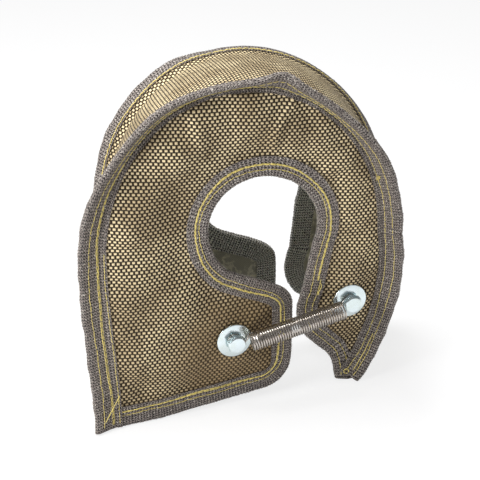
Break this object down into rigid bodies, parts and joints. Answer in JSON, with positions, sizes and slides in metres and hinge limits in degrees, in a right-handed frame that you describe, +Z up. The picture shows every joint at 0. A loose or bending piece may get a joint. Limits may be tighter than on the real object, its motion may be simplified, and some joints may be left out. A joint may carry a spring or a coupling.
{
  "type": "turbo heat blanket",
  "caption": "C-shaped padded heat blanket that wraps a turbine housing, with bound seams, a round port on each side and a closing spring between two bolts.",
  "frame": {"origin": "on the floor, under the centre of the bounding box", "axes": "+Z up with the blanket standing on its two legs, -Y out of the panel that carries the spring, +X towards the leg with the higher bolt"},
  "size_m": [0.1964, 0.1164, 0.2055],
  "materials": {
    "outer_fabric": "coarse plain weave of golden-brown mineral yarn",
    "insulation": "needled off-white fibre mat",
    "liner": "fine dark wire mesh cloth",
    "binding": "flat knitted wire tape, grey-brown",
    "zinc_hardware": "bright zinc plate with a pale blue cast",
    "spring_wire": "bright drawn wire, lightly greyed"
  },
  "bodies": {
    "root": {"front_outer_fabric": "outer_fabric", "back_outer_fabric": "outer_fabric", "gusset_outer_fabric": "outer_fabric", "front_insulation": "insulation", "back_insulation": "insulation", "gusset_insulation": "insulation", "front_liner": "liner", "back_liner": "liner", "gusset_liner": "liner", "front_perimeter_binding": "binding", "back_perimeter_binding": "binding", "front_opening_binding": "binding", "back_opening_binding": "binding", "left_gusset_end_binding": "binding", "right_gusset_end_binding": "binding", "left_anchor_bolt": "zinc_hardware", "left_outer_washer": "zinc_hardware", "left_inner_washer": "zinc_hardware", "left_nut": "zinc_hardware", "right_anchor_bolt": "zinc_hardware", "right_outer_washer": "zinc_hardware", "right_inner_washer": "zinc_hardware", "right_nut": "zinc_hardware", "closing_spring": "spring_wire"}
  },
  "joints": []
}
